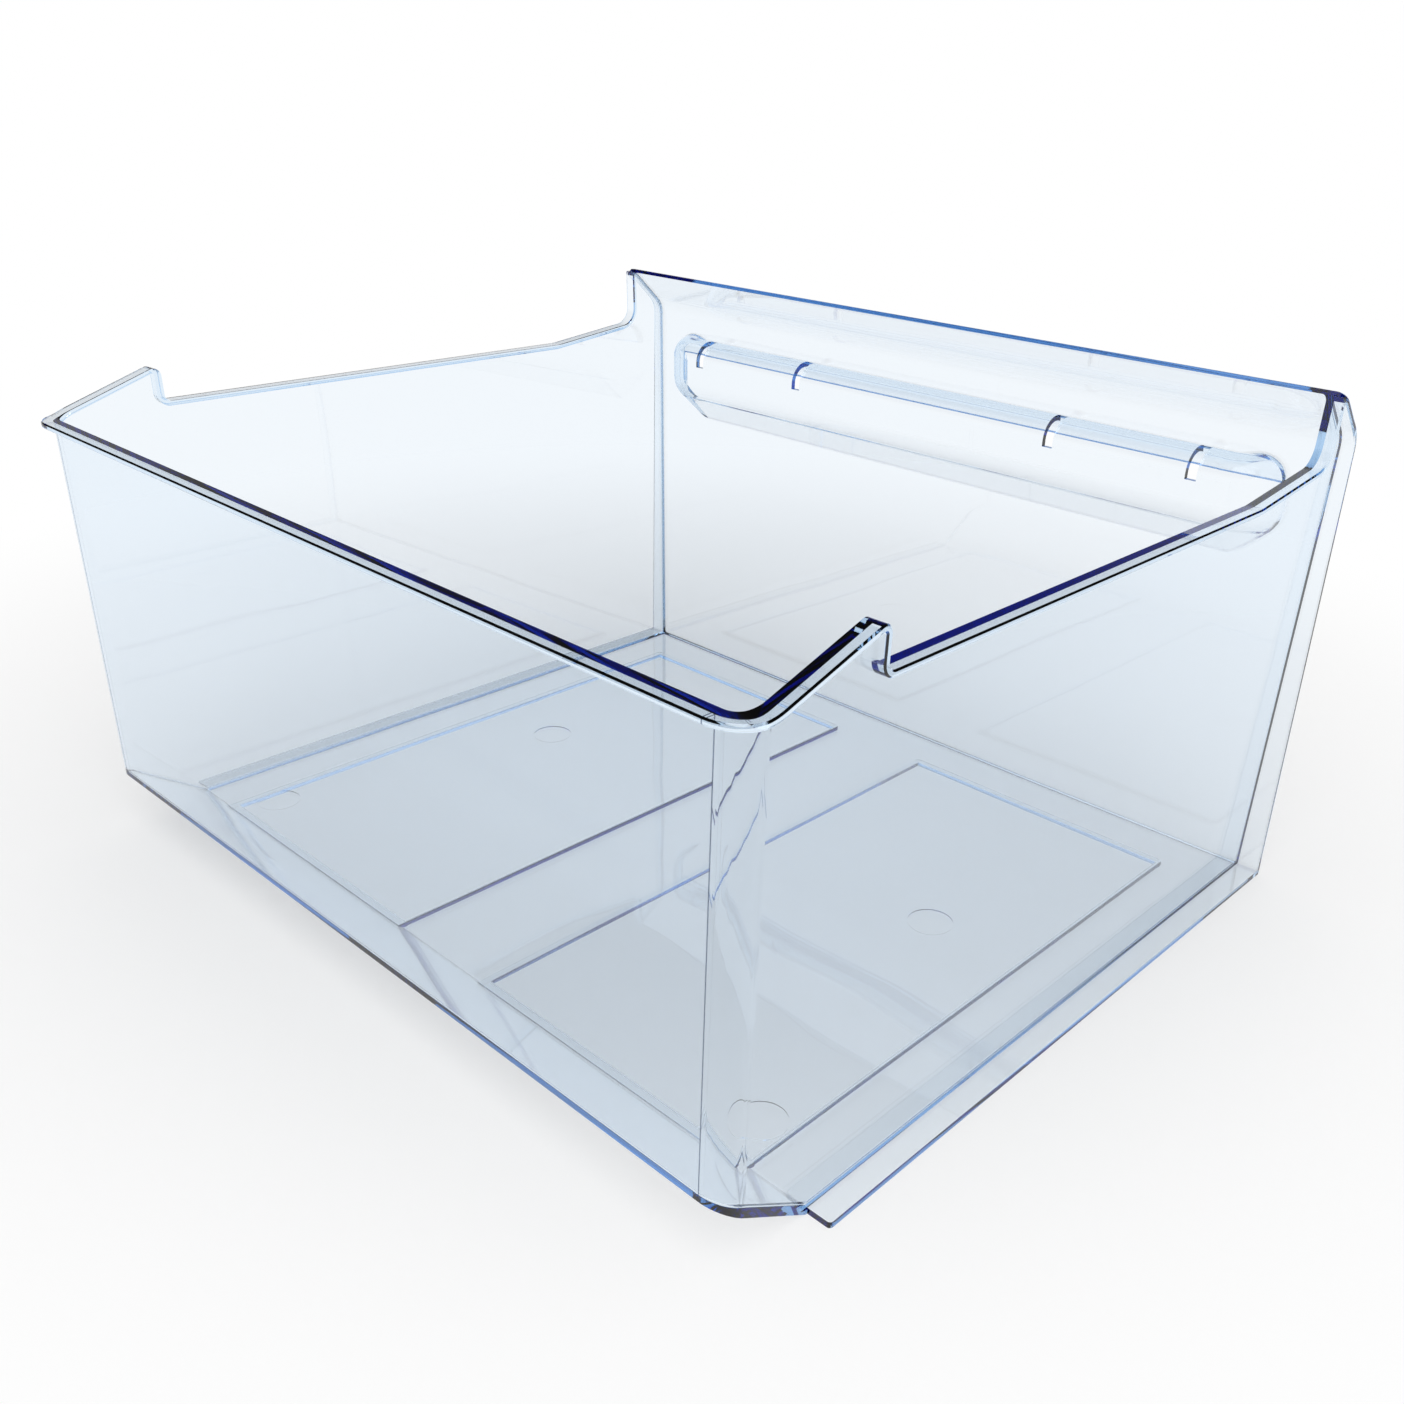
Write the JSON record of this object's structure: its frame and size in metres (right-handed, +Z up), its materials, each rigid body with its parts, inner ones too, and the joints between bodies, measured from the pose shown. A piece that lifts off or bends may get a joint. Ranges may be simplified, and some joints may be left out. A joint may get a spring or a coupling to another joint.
{
  "type": "freezer drawer",
  "caption": "Clear moulded freezer drawer: open tub with a tall front panel, grip recess, lipped rim, back stop hooks, sloping back of floor and side runners.",
  "frame": {"origin": "middle of the drawer's footprint, on the surface it stands on", "axes": "+X along the width, +Y towards the back wall, +Z up; the tall front panel faces -Y"},
  "size_m": [0.423, 0.362, 0.2296],
  "materials": {
    "clear_plastic": "clear, faintly blue, polished"
  },
  "bodies": {
    "root": {"drawer": "clear_plastic"}
  },
  "joints": []
}
